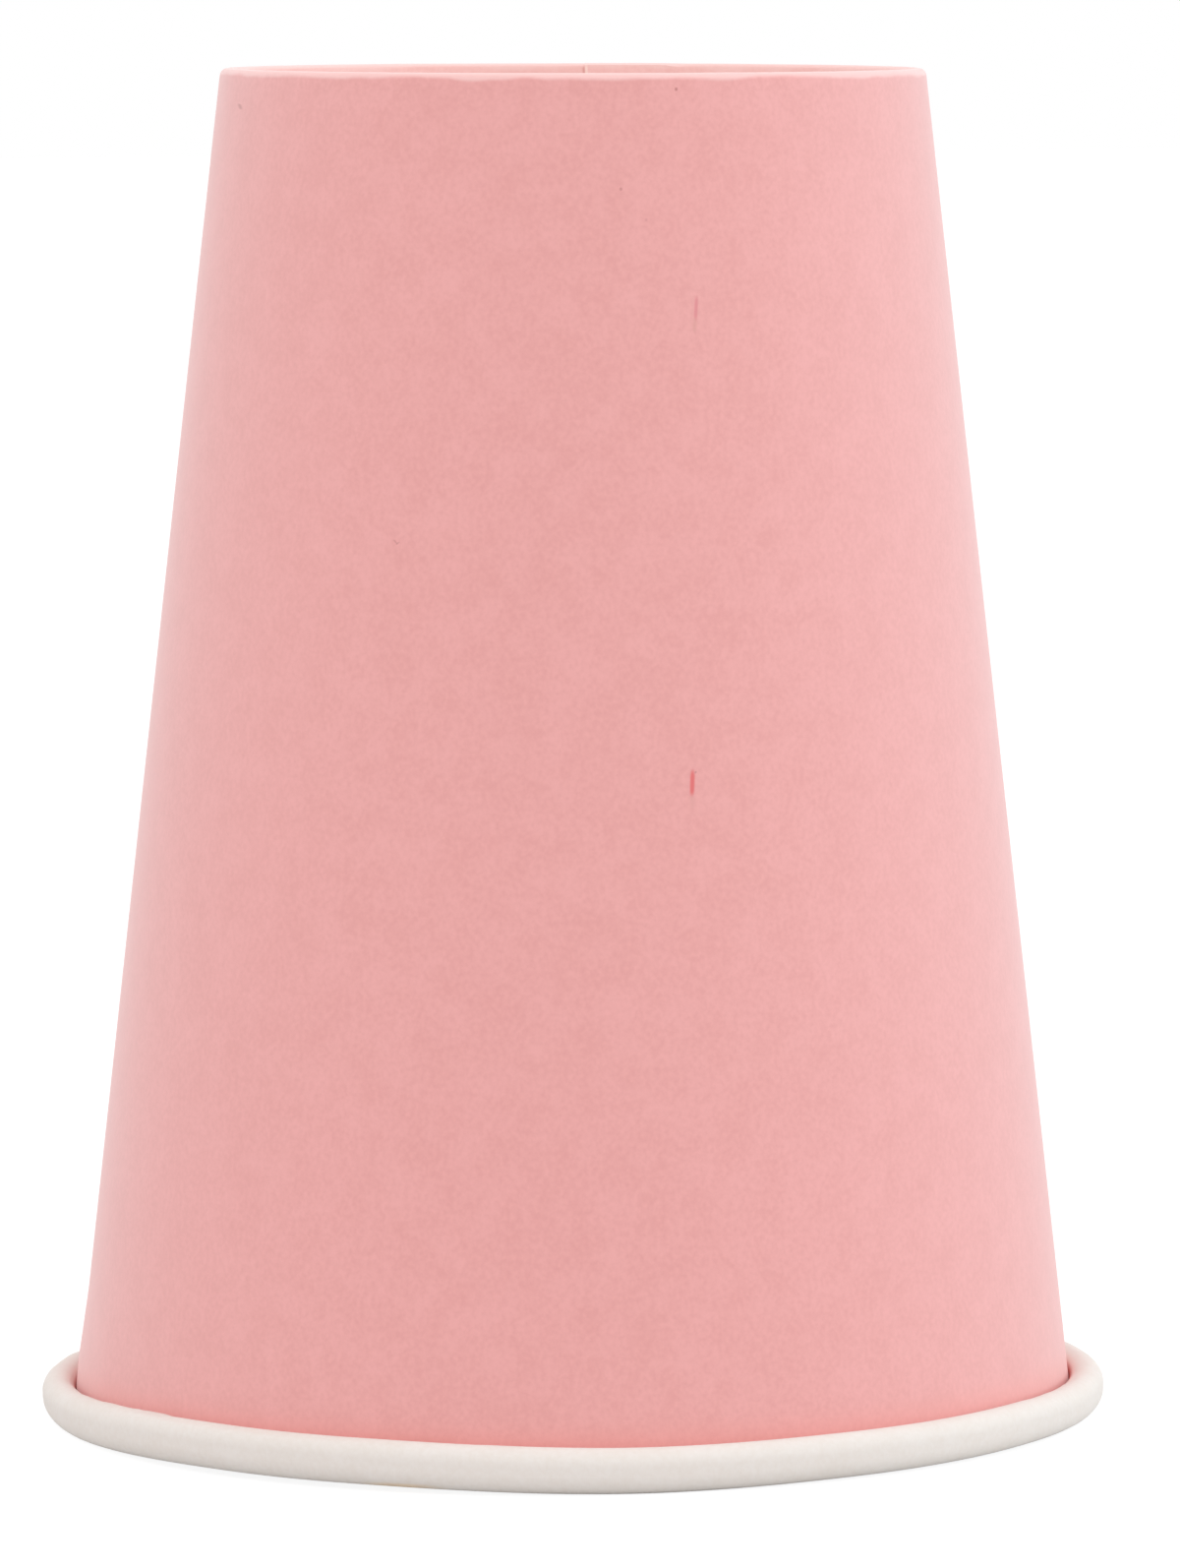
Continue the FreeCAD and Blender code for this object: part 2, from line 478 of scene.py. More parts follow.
def new_group(
    effect: Effect, inputs: dict[str, str], outputs: dict[str, str]
) -> bpy.types.ShaderNodeTree:
    """Start a shader node group with named sockets.

    Args:
        effect: which of the shared groups it is.
        inputs: socket types by name.
        outputs: socket types by name.

    Returns:
        The group, with its input and output nodes named "in" and "out".
    """
    group = bpy.data.node_groups.new(effect.value, "ShaderNodeTree")
    for direction, sockets in (("INPUT", inputs), ("OUTPUT", outputs)):
        for name, kind in sockets.items():
            socket_type = "NodeSocket" + kind
            group.interface.new_socket(name=name, in_out=direction, socket_type=socket_type)
    group.nodes.new("NodeGroupInput").name = "in"
    group.nodes.new("NodeGroupOutput").name = "out"
    return group


def paper_fibre_group() -> bpy.types.ShaderNodeTree:
    """Fine paper formation: a cloudy tone and the small hills of its fibres.

    Returns:
        The new group.
    """
    group = new_group(
        Effect.FIBRE,
        {"Place": "Vector", "Fibre Size": "Float", "Cloud Size": "Float"},
        {"Tone": "Float", "Height": "Float"},
    )
    w = Wiring(group)
    given, result = group.nodes["in"].outputs, group.nodes["out"].inputs
    fibre_share = 0.65
    fibre = w.noise(given["Place"], given["Fibre Size"], detail=3.0, roughness=0.6)
    cloud = w.noise(given["Place"], given["Cloud Size"], detail=2.0)
    fibre_tone = w.maths("MULTIPLY", fibre, fibre_share)
    cloud_tone = w.maths("MULTIPLY", cloud, 1 - fibre_share)
    w.feed(w.maths("ADD", fibre_tone, cloud_tone), result["Tone"])
    w.feed(fibre, result["Height"])
    return group


def scuff_and_painted_light_group() -> bpy.types.ShaderNodeTree:
    """Mask of one soft-edged spot on the front or the back of the cup, seen square on, for scuffs
    in the print and for painted shade and highlight.

    Returns:
        The new group.
    """
    group = new_group(
        Effect.SCUFF,
        {"Place": "Vector", "Across": "Float", "Up": "Float", "Half Width": "Float",
         "Half Length": "Float", "Lean": "Float", "Softness": "Float", "Behind": "Float"},
        {"Mask": "Float"},
    )
    w = Wiring(group)
    given, result = group.nodes["in"].outputs, group.nodes["out"].inputs
    x, y, z = w.axes(given["Place"])
    up = w.maths("SUBTRACT", z, given["Up"])
    across = w.maths("SUBTRACT", x, given["Across"])
    across = w.maths("SUBTRACT", across, w.maths("MULTIPLY", up, given["Lean"]))
    wide = w.maths("DIVIDE", w.maths("ABSOLUTE", across), given["Half Width"])
    long = w.maths("DIVIDE", w.maths("ABSOLUTE", up), given["Half Length"])
    powers = w.maths("ADD", w.maths("POWER", wide, 2.0), w.maths("POWER", long, 4.0))
    inner = w.maths("SUBTRACT", 1.0, given["Softness"])
    outer = w.maths("ADD", 1.0, given["Softness"])
    mask = w.spread(w.maths("SQRT", powers), inner, outer, 1.0, 0.0)
    back = w.maths("GREATER_THAN", y, 0.0)
    same_side = w.maths("COMPARE", back, given["Behind"], 0.5)
    w.feed(w.maths("MULTIPLY", mask, same_side), result["Mask"])
    return group


def edge_band_group() -> bpy.types.ShaderNodeTree:
    """Mask of a band along the upper or lower edge of a sheet, with a border that wavers.

    Returns:
        The new group.
    """
    group = new_group(
        Effect.EDGE_BAND,
        {"Place": "Vector", "Towards": "Vector", "Edge": "Float", "Depth": "Float",
         "Waver": "Float", "Waver Size": "Float", "Softness": "Float"},
        {"Mask": "Float"},
    )
    w = Wiring(group)
    given, result = group.nodes["in"].outputs, group.nodes["out"].inputs
    level = w.node("ShaderNodeVectorMath", operation="DOT_PRODUCT")
    w.feed(given["Place"], level.inputs[0])
    w.feed(given["Towards"], level.inputs[1])
    below = w.maths("SUBTRACT", given["Edge"], level.outputs["Value"])
    wander = w.maths("SUBTRACT", w.noise(given["Place"], given["Waver Size"], detail=1.0), 0.5)
    border = w.maths("ADD", given["Depth"], w.maths("MULTIPLY", wander, given["Waver"]))
    first = w.maths("SUBTRACT", border, given["Softness"])
    last = w.maths("ADD", border, given["Softness"])
    w.feed(w.spread(below, first, last, 1.0, 0.0), result["Mask"])
    return group


def crevice_group() -> bpy.types.ShaderNodeTree:
    """Mask of the paper just outside the cone, where the roll and the wall close up and a painted
    reflection of the wall goes.

    Returns:
        The new group.
    """
    group = new_group(
        Effect.CREVICE,
        {"Place": "Vector", "Foot": "Float", "Slope": "Float", "Above": "Float",
         "Reach": "Float"},
        {"Mask": "Float"},
    )
    w = Wiring(group)
    given, result = group.nodes["in"].outputs, group.nodes["out"].inputs
    x, y, z = w.axes(given["Place"])
    squares = w.maths("ADD", w.maths("MULTIPLY", x, x), w.maths("MULTIPLY", y, y))
    cone = w.maths("SUBTRACT", given["Foot"], w.maths("MULTIPLY", z, given["Slope"]))
    gap = w.maths("SUBTRACT", w.maths("SQRT", squares), cone)
    near = w.spread(gap, 0.0, given["Reach"], 1.0, 0.0)
    outside = w.maths("GREATER_THAN", gap, 0.0)
    over_roll = w.maths("GREATER_THAN", z, given["Above"])
    mask = w.maths("MULTIPLY", w.maths("MULTIPLY", near, outside), over_roll)
    w.feed(mask, result["Mask"])
    return group


def shared_groups() -> dict[Effect, bpy.types.ShaderNodeTree]:
    """Build each shared group once.

    Returns:
        The groups by effect.
    """
    return {
        Effect.FIBRE: paper_fibre_group(),
        Effect.SCUFF: scuff_and_painted_light_group(),
        Effect.EDGE_BAND: edge_band_group(),
        Effect.CREVICE: crevice_group(),
    }


# ---------------------------------------------------------------- finishes


class Mark(ABC):
    """A change of the paper's surface where the mask of a shared group falls."""

    effect: Effect
    colour: Colour
    strength: float
    dent: float = 0.0

    @abstractmethod
    def values(self) -> dict[str, Source]:
        """List what the mark feeds into its group, by socket."""


@dataclass(frozen=True)
class ScuffAndPaintedLight(Mark):
    """One small soft spot, in metres on the front of the cup or behind: scuffs, specks and stains
    in the print, and painted shade, shadow and highlight.
    """

    across: float
    up: float
    half_width: float
    half_length: float
    colour: Colour
    strength: float
    lean: float = 0.0
    softness: float = 0.5
    dent: float = 0.0
    behind: bool = False

    effect = Effect.SCUFF

    def values(self) -> dict[str, Source]:
        """List what the spot feeds into its group.

        Returns:
            Its own values by socket.
        """
        return {
            "Across": self.across, "Up": self.up, "Half Width": self.half_width,
            "Half Length": self.half_length, "Lean": self.lean, "Softness": self.softness,
            "Behind": float(self.behind),
        }


@dataclass(frozen=True)
class EdgeBand(Mark):
    """A band of changed colour along an edge, in metres from the edge into the sheet: painted
    shade and reflection next to the roll, and worn print with a painted highlight on the fold.
    """

    towards: Place
    edge: float
    depth: float
    softness: float
    colour: Colour
    strength: float
    waver: float = 0.0
    waver_size: float = 5 * MM

    effect = Effect.EDGE_BAND

    def values(self) -> dict[str, Source]:
        """List what the band feeds into its group.

        Returns:
            Its own values by socket.
        """
        return {
            "Towards": self.towards, "Edge": self.edge, "Depth": self.depth,
            "Waver": self.waver, "Waver Size": self.waver_size, "Softness": self.softness,
        }


@dataclass(frozen=True)
class PaintedCreviceReflection(Mark):
    """Painted reflection: pink and red painted on the white roll where it closes up with the wall,
    in metres.
    """

    foot: float
    slope: float
    above: float
    reach: float
    colour: Colour
    strength: float

    effect = Effect.CREVICE

    def values(self) -> dict[str, Source]:
        """List what the crevice feeds into its group.

        Returns:
            Its own values by socket.
        """
        return {
            "Foot": self.foot, "Slope": self.slope, "Above": self.above, "Reach": self.reach,
        }


class Paper(Enum):
    """The papers of the cup, with the names of their materials."""

    PRINTED = "printed pink paper"
    # the folded-in print, painted paler as painted light on the recess's face
    HEM = "printed pink paper of the hem"
    INSIDE = "white coated paper"
    CUT_EDGE = "raw cut edge of paper"
    BASE = "white base paper"


@dataclass(frozen=True)
class PaperFinish:
    """A matte paper surface with its colour, grain and marks."""

    paper: Paper
    colour: Colour
    shade: Colour
    roughness: float
    fibre_size: float
    cloud_size: float
    contrast: float
    relief: float
    marks: tuple[Mark, ...] = ()
    sheen: float = 0.0
    sheen_roughness: float = 0.5
    specular: float = 0.5
    refraction: float = 1.45
    tones: tuple[float, float] = (0.2, 0.8)      # of the fibres, from dark to pale
    gloss_change: float = 0.06                   # how far the roughness follows them each way

    def material(
        self, groups: dict[Effect, bpy.types.ShaderNodeTree]
    ) -> bpy.types.Material:
        """Build the material.

        Args:
            groups: the shared node groups.

        Returns:
            The new material.
        """
        material = bpy.data.materials.new(self.paper.value)
        material.use_nodes = True
        w = Wiring(material.node_tree)
        paint = material.node_tree.nodes["Principled BSDF"].inputs
        place = w.node("ShaderNodeTexCoord").outputs["Object"]

        grain = {"Place": place, "Fibre Size": self.fibre_size, "Cloud Size": self.cloud_size}
        fibre = w.effect(groups[Effect.FIBRE], grain)
        amount = w.spread(fibre["Tone"], 0.5 - self.contrast, 0.5 + self.contrast)
        colour = w.blend(amount, self.shade, self.colour)
        height = w.maths("MULTIPLY", fibre["Height"], self.relief)
        for mark in self.marks:
            mask = w.effect(groups[mark.effect], {"Place": place, **mark.values()})["Mask"]
            colour = w.blend(w.maths("MULTIPLY", mask, mark.strength), colour, mark.colour)
            if mark.dent:
                height = w.maths("SUBTRACT", height, w.maths("MULTIPLY", mask, mark.dent))

        bump = w.node("ShaderNodeBump")
        bump.inputs["Strength"].default_value = 1.0
        bump.inputs["Distance"].default_value = 1.0
        w.feed(height, bump.inputs["Height"])
        w.feed(bump.outputs["Normal"], paint["Normal"])
        w.feed(colour, paint["Base Color"])
        low, high = self.roughness - self.gloss_change, self.roughness + self.gloss_change
        w.feed(w.spread(fibre["Tone"], *self.tones, low, high), paint["Roughness"])
        paint["IOR"].default_value = self.refraction
        paint["Specular IOR Level"].default_value = self.specular
        paint["Sheen Weight"].default_value = self.sheen
        paint["Sheen Roughness"].default_value = self.sheen_roughness
        return material


# Pale pink: on the fold's crest partly worn print and partly a painted highlight on its rounding;
# on the roll by the wall a painted reflection of the wall.
PALE_WEAR_AND_PAINTED_LIGHT = srgb(248, 210, 206)
# Painted shade and reflection: the wall's pink deepened just above the roll.
PAINTED_SHADE_PINK = srgb(242, 161, 154)
# Painted reflection and shade: the red glow of pink light bouncing in the crevice between roll and
# wall.
PAINTED_CREVICE_GLOW = srgb(214, 92, 84)
# Painted shade along a crease's fold, and a painted highlight on its pale side.
CREASE_PAINTED_SHADE = srgb(222, 138, 142)
CREASE_PAINTED_HIGHLIGHT = srgb(222, 158, 152)
MARK_RED = srgb(224, 108, 108)
SPECK = srgb(190, 122, 118)
STAIN = srgb(244, 208, 158)
SEAM_PALE = srgb(252, 222, 214)
# Painted shadow beside the seam's raised cut edge.
SEAM_PAINTED_SHADOW = srgb(222, 156, 150)

# Across, up, half width, half length, colour, strength, lean, softness and dent.
FRONT_MARKS = (
    # A crease: a painted shade line with a slight dent, and a painted highlight beside it with a
    # slighter dent.
    ScuffAndPaintedLight(10.68 * MM, 94.05 * MM, 0.14 * MM, 0.95 * MM, CREASE_PAINTED_SHADE, 0.85, 0.06, 0.6, 0.02 * MM),
    ScuffAndPaintedLight(10.56 * MM, 92.75 * MM, 0.15 * MM, 0.60 * MM, CREASE_PAINTED_HIGHLIGHT, 0.7, 0.0, 0.7, 0.01 * MM),
    ScuffAndPaintedLight(10.02 * MM, 56.20 * MM, 0.18 * MM, 1.00 * MM, MARK_RED, 0.95, 0.04, 0.6),
    # painted highlight below the red mark
    ScuffAndPaintedLight(10.00 * MM, 54.75 * MM, 0.22 * MM, 0.55 * MM, CREASE_PAINTED_HIGHLIGHT, 0.5, 0.0, 0.8),
    ScuffAndPaintedLight(10.30 * MM, 57.05 * MM, 0.08 * MM, 0.10 * MM, SPECK, 0.6, 0.3, 0.6),
    ScuffAndPaintedLight(-26.43 * MM, 110.37 * MM, 0.14 * MM, 0.22 * MM, SPECK, 0.7, -0.40, 0.7),
    ScuffAndPaintedLight(9.26 * MM, 111.63 * MM, 0.11 * MM, 0.13 * MM, SPECK, 0.85, 0.0, 0.6),
    ScuffAndPaintedLight(4.74 * MM, 103.71 * MM, 0.11 * MM, 0.12 * MM, SPECK, 0.6, 0.0, 0.7),
    ScuffAndPaintedLight(6.74 * MM, 101.23 * MM, 0.11 * MM, 0.12 * MM, SPECK, 0.3, 0.0, 0.8),
    ScuffAndPaintedLight(-13.66 * MM, 75.55 * MM, 0.09 * MM, 0.16 * MM, SPECK, 0.5, -0.8, 0.7),
    ScuffAndPaintedLight(-13.48 * MM, 75.44 * MM, 0.09 * MM, 0.12 * MM, SPECK, 0.4, 0.9, 0.7),
)
# The lap's raw cut edge at the fold's crest, and a painted shadow beside it where the step is
# pressed almost flat.
SEAM_EDGE_AND_PAINTED_SHADOW = (
    ScuffAndPaintedLight(2.24 * MM, 112.8 * MM, 0.12 * MM, 0.55 * MM, SEAM_PALE, 0.7, behind=True),
    ScuffAndPaintedLight(2.01 * MM, 112.7 * MM, 0.10 * MM, 0.40 * MM, SEAM_PAINTED_SHADOW, 0.6, 0.0, 0.6, behind=True),
)
RIM_STAINS = (
    ScuffAndPaintedLight(-13.9 * MM, 0.45 * MM, 2.4 * MM, 0.36 * MM, STAIN, 0.5, softness=0.8),
)


@dataclass(frozen=True)
class CupFinishes:
    """The cup's papers, with their marks where the cup's sizes put them."""

    sizes: CupSizes
    lean: tuple[float, float]
    shaded_wall: float = 2.2 * MM      # height of the wall deep in the crevice, round which its print is painted red as shade and reflection
    shaded_roll: float = 1.9 * MM      # height on the roll above which its side of the crevice gets a painted reflection

    def bands(self) -> tuple[EdgeBand, ...]:
        """Painted shade and reflection on the wall next to the roll, and the fold's pale edge:
        worn print with a painted highlight on its rounding.

        Returns:
            The bands, in the order they are laid.
        """
        s = self.sizes
        down = (0.0, 0.0, -1.0)
        up_the_cup = (self.lean[0] / s.height, self.lean[1] / s.height, 1.0)
        return (
            # painted shade and reflection: the pink deepened just above the roll
            EdgeBand(down, -s.curl_height, 1.1 * MM, 1.1 * MM, PAINTED_SHADE_PINK, 0.35),
            # painted red glow of light bouncing deep in the crevice between roll and wall
            EdgeBand(down, -self.shaded_wall, 0.6 * MM, 0.7 * MM, PAINTED_CREVICE_GLOW, 0.85),
            # the fold's crest: worn print, and a painted highlight on its rounding
            EdgeBand(up_the_cup, s.height, 0.42 * MM, 0.20 * MM, PALE_WEAR_AND_PAINTED_LIGHT, 0.6, 1.0 * MM),
        )

    def crevices(self) -> tuple[PaintedCreviceReflection, ...]:
        """Painted reflection: pink and red painted on the roll where it closes up with the wall,
        for the light that the wall throws there.

        Returns:
            The crevices, in the order they are laid.
        """
        where = (self.sizes.foot, self.sizes.slope, self.shaded_roll)
        return (
            PaintedCreviceReflection(*where, 1.1 * MM, PALE_WEAR_AND_PAINTED_LIGHT, 0.55),
            PaintedCreviceReflection(*where, 0.5 * MM, PAINTED_CREVICE_GLOW, 0.9),
        )

    def printed(self) -> PaperFinish:
        """The printed outside of the cup.

        Returns:
            The finish.
        """
        return PaperFinish(
            paper=Paper.PRINTED,
            colour=srgb(237, 170, 168),
            shade=srgb(228, 159, 156),
            roughness=0.62,
            fibre_size=0.45 * MM,
            cloud_size=2.6 * MM,
            contrast=0.22,
            relief=0.012 * MM,
            marks=FRONT_MARKS + SEAM_EDGE_AND_PAINTED_SHADOW + self.bands(),
            sheen=0.48,
        )

    def hem(self) -> PaperFinish:
        """The same print where it is folded in, painted paler as painted light on its face inside
        the recess.

        Returns:
            The finish.
        """
        return replace(
            self.printed(),
            paper=Paper.HEM,
            # painted light: paler, for the light on the face inside the recess
            colour=srgb(247, 199, 195),
            shade=srgb(242, 189, 185),
            marks=SEAM_EDGE_AND_PAINTED_SHADOW + self.bands(),
        )

    def inside(self) -> PaperFinish:
        """The coated inside, which is the outside of the roll.

        Returns:
            The finish.
        """
        return PaperFinish(
            paper=Paper.INSIDE,
            colour=srgb(233, 227, 222),
            shade=srgb(228, 220, 213),
            roughness=0.6,
            fibre_size=0.5 * MM,
            cloud_size=3.0 * MM,
            contrast=0.25,
            relief=0.006 * MM,
            marks=RIM_STAINS + self.crevices(),
            specular=0.2,
        )

    def cut_edge(self) -> PaperFinish:
        """The raw edge of the sheet.

        Returns:
            The finish.
        """
        return PaperFinish(
            paper=Paper.CUT_EDGE,
            colour=srgb(238, 230, 224),
            shade=srgb(214, 200, 192),
            roughness=0.85,
            fibre_size=0.2 * MM,
            cloud_size=1.0 * MM,
            contrast=0.2,
            relief=0.02 * MM,
        )

    def base(self) -> PaperFinish:
        """Both faces of the base.

        Returns:
            The finish.
        """
        return PaperFinish(
            paper=Paper.BASE,
            colour=srgb(231, 227, 222),
            shade=srgb(225, 219, 213),
            roughness=0.7,
            fibre_size=0.45 * MM,
            cloud_size=2.6 * MM,
            contrast=0.25,
            relief=0.015 * MM,
        )

    def materials(self) -> dict[Paper, bpy.types.Material]:
        """Build the material of every paper.

        Returns:
            The materials by paper.
        """
        groups = shared_groups()
        finishes = (self.printed(), self.inside(), self.cut_edge(), self.hem(), self.base())
        return {finish.paper: finish.material(groups) for finish in finishes}


# ---------------------------------------------------------------- the two sheets


@dataclass(frozen=True)
class Nudge:
    """A stretch near the rim that is out of true: angles in degrees, sizes in metres.

    With several steps the move is shared out over ever narrower stretches, so it tapers off.
    """

    angle: float
    half_angle: float
    heights: tuple[float, float]
    move: Place
    fade: float
    steps: int = 1


@dataclass
class SideWall:
    """The printed sheet: rolled rim, cone, lapped seam and folded hem."""

    sizes: CupSizes
    seam_edge_angle: float = 87.9      # the lap's cut edge, in degrees from +X
    lap_angle: float = 13.0
    step_angle: float = 1.5
    ramp_steps: int = 3
    squeezed: float = 0.06             # share of the lap's step left in the roll and on the crest
    crest: float = 0.30 * MM           # depth of the fold's crest, where the lap is pressed flat
    hem_starts: float = 1.3            # depth behind the outer face, in papers

    def nudges(self) -> tuple[Nudge, ...]:
        """Where this cup's rim and the wall above it are out of true.

        Returns:
            The nudges, in the order they are given.
        """
        roll = (0.0, self.sizes.curl_height)
        roll_top = (2.9 * MM, self.sizes.curl_height)
        above_roll = (3.8 * MM, 6.0 * MM)
        return (
            Nudge(-122.0, 9.0, roll, (0.0, 0.0, 0.42 * MM), 24 * MM),
            Nudge(-47.0, 12.0, roll, (0.0, 0.0, 0.17 * MM), 18 * MM),
            Nudge(180.0, 20.0, above_roll, (-0.22 * MM, 0.0, 0.0), 6 * MM),
            Nudge(150.0, 64.0, roll_top, (0.0, 0.0, -0.80 * MM), 2.0 * MM, steps=8),
            Nudge(30.0, 60.0, roll_top, (0.0, 0.0, -0.52 * MM), 2.0 * MM, steps=8),
        )

    def outline(self) -> Outline:
        """Draw the centre line of the paper from the rolled end to the hem's cut edge.

        Returns:
            The section.
        """
        s = self.sizes
        half = s.paper / 2
        tilt = math.degrees(math.atan(s.slope))
        rim = s.rim - half

        bend = (rim - s.face(half, half)[0]) / (1 + s.slant - s.slope)
        low = (rim - bend, half + bend)
        crown = s.curl_height - half
        roll = (rim - s.face(crown, -s.curl_gap - half)[0]) / (1 + s.slant + s.slope)
        high = (rim - roll, crown - roll)
        roll_end = 180 + math.degrees(math.asin((high[1] - s.curl_end) / roll))

        hem_line = 2 * s.paper + half          # behind the wall and the base's skirt
        outer_level = s.height - half - s.fold_outer
        inner_level = s.height - half - s.fold_inner
        fold_out = s.face(outer_level, half + s.fold_outer)
        fold_in = s.face(inner_level, hem_line - s.fold_inner)

        section = Outline()
        section.arc(high, roll, roll_end, 0, pieces=16)
        section.arc(low, bend, 0, -180 + tilt, pieces=16)
        section.line(s.face(outer_level - s.fold_outer, half), pieces=36)
        section.arc(fold_out, s.fold_outer, tilt, 90, pieces=7)
        section.arc(fold_in, s.fold_inner, 90, 180 + tilt, pieces=5)
        section.line(s.face(s.height - s.hem_depth, hem_line), pieces=8)
        return section

    def build(self) -> bpy.types.Object:
        """Turn the outline about the axis and lap its end over its start.

        Returns:
            The sheet, without thickness.
        """
        start = self.seam_edge_angle - self.lap_angle
        ramp = self.ramp_steps * self.step_angle
        full_steps = round((360 - ramp) / self.step_angle)
        lap_steps = round(self.lap_angle / self.step_angle)
        wall = draw_outline("paper_wall", self.outline(), start)
        spin(360 - ramp, full_steps)
        for _ in range(self.ramp_steps):
            spin(self.step_angle, 1)
            self.raise_last_column(wall, self.sizes.paper / self.ramp_steps)
        spin(self.lap_angle, lap_steps)
        bpy.ops.mesh.select_all(action="SELECT")
        bpy.ops.object.mode_set(mode="OBJECT")
        self.turn_print_outwards(wall)
        for nudge in self.nudges():
            self.push(wall, nudge)
        return wall

    def dress(self, wall: bpy.types.Object, papers: dict[Paper, bpy.types.Material]) -> None:
        """Give the sheet its materials.

        Args:
            wall: the sheet, without thickness.
            papers: the materials by paper.
        """
        for print_side in (Paper.PRINTED, Paper.HEM):
            for paper in (print_side, Paper.INSIDE, Paper.CUT_EDGE):
                wall.data.materials.append(papers[paper])
        self.mark_hem(wall)

    def push(self, wall: bpy.types.Object, nudge: Nudge) -> None:
        """Move a stretch of the rim or of the wall over it, fading out over the wall round it.

        Args:
            wall: the sheet, without thickness.
            nudge: which stretch goes where.
        """
        make_active(wall)
        bpy.ops.object.mode_set(mode="EDIT")
        bpy.ops.mesh.select_mode(type="VERT")
        middle = math.radians(nudge.angle)
        towards = Vector((math.cos(middle), math.sin(middle)))
        low, high = nudge.heights
        choose(wall, lambda vertex: low <= vertex.co.z <= high)
        for step in range(nudge.steps):
            reach = math.cos(math.radians(nudge.half_angle * (1 - step / nudge.steps)))
            narrow(wall, lambda vertex: vertex.co.xy.normalized().dot(towards) > reach)
            bpy.ops.transform.translate(
                value=Vector(nudge.move) / nudge.steps, use_proportional_edit=True,
                proportional_edit_falloff="SMOOTH", proportional_size=nudge.fade,
            )
        bpy.ops.mesh.select_all(action="SELECT")
        bpy.ops.object.mode_set(mode="OBJECT")

    def mark_hem(self, wall: bpy.types.Object) -> None:
        """Give the folded-in part of the sheet its own slot.

        Args:
            wall: the sheet, without thickness.
        """
        s = self.sizes
        below_hem = s.height - 1.1 * s.hem_depth
        for face in wall.data.polygons:
            depth = s.face(face.center.z)[0] - face.center.xy.length
            if face.center.z > below_hem and depth > self.hem_starts * s.paper:
                face.material_index = int(SheetSide.HEM)

    def raise_last_column(self, wall: bpy.types.Object, step: float) -> None:
        """Lift the selected column off the sheet under it, less where it is squeezed.

        Args:
            wall: the sheet, in edit mode with its newest column selected.
            step: how far it is lifted.
        """
        s = self.sizes
        lift = step if self.column_faces_out(wall) else -step
        bpy.ops.transform.shrink_fatten(value=lift * self.squeezed)
        above_roll = s.curl_height
        below_fold = s.height - self.crest
        narrow(wall, lambda vertex: above_roll < vertex.co.z < below_fold)
        bpy.ops.transform.shrink_fatten(value=lift * (1 - self.squeezed))
        self.select_last_column(wall)

    def column_faces_out(self, wall: bpy.types.Object) -> bool:
        """Tell which side the normals of the selected column point to.

        Args:
            wall: the sheet, in edit mode.

        Returns:
            Whether it is the printed side.
        """
        mesh = bmesh.from_edit_mesh(wall.data)
        mesh.normal_update()
        low, high = 0.3 * self.sizes.height, 0.8 * self.sizes.height
        column = [v for v in mesh.verts if v.select and low < v.co.z < high]
        return sum(v.normal.xy.dot(v.co.xy) for v in column) > 0

    def select_last_column(self, wall: bpy.types.Object) -> None:
        """Select the newest column of the sheet again.

        Args:
            wall: the sheet, in edit mode.
        """
        mesh = bmesh.from_edit_mesh(wall.data)
        newest = len(mesh.verts) - len(self.outline().points)
        choose(wall, lambda vertex: vertex.index >= newest)

    def turn_print_outwards(self, wall: bpy.types.Object) -> None:
        """Flip the sheet if its normals point to the cup's inside.

        Args:
            wall: the sheet, without thickness.
        """
        wall.data.update()
        middle, near = self.sizes.height / 2, 10 * MM
        faces = [p for p in wall.data.polygons if abs(p.center.z - middle) < near]
        if sum(p.normal.xy.dot(p.center.xy) for p in faces) < 0:
            make_active(wall)
            bpy.ops.object.mode_set(mode="EDIT")
            bpy.ops.mesh.select_all(action="SELECT")
            bpy.ops.mesh.flip_normals()
            bpy.ops.object.mode_set(mode="OBJECT")


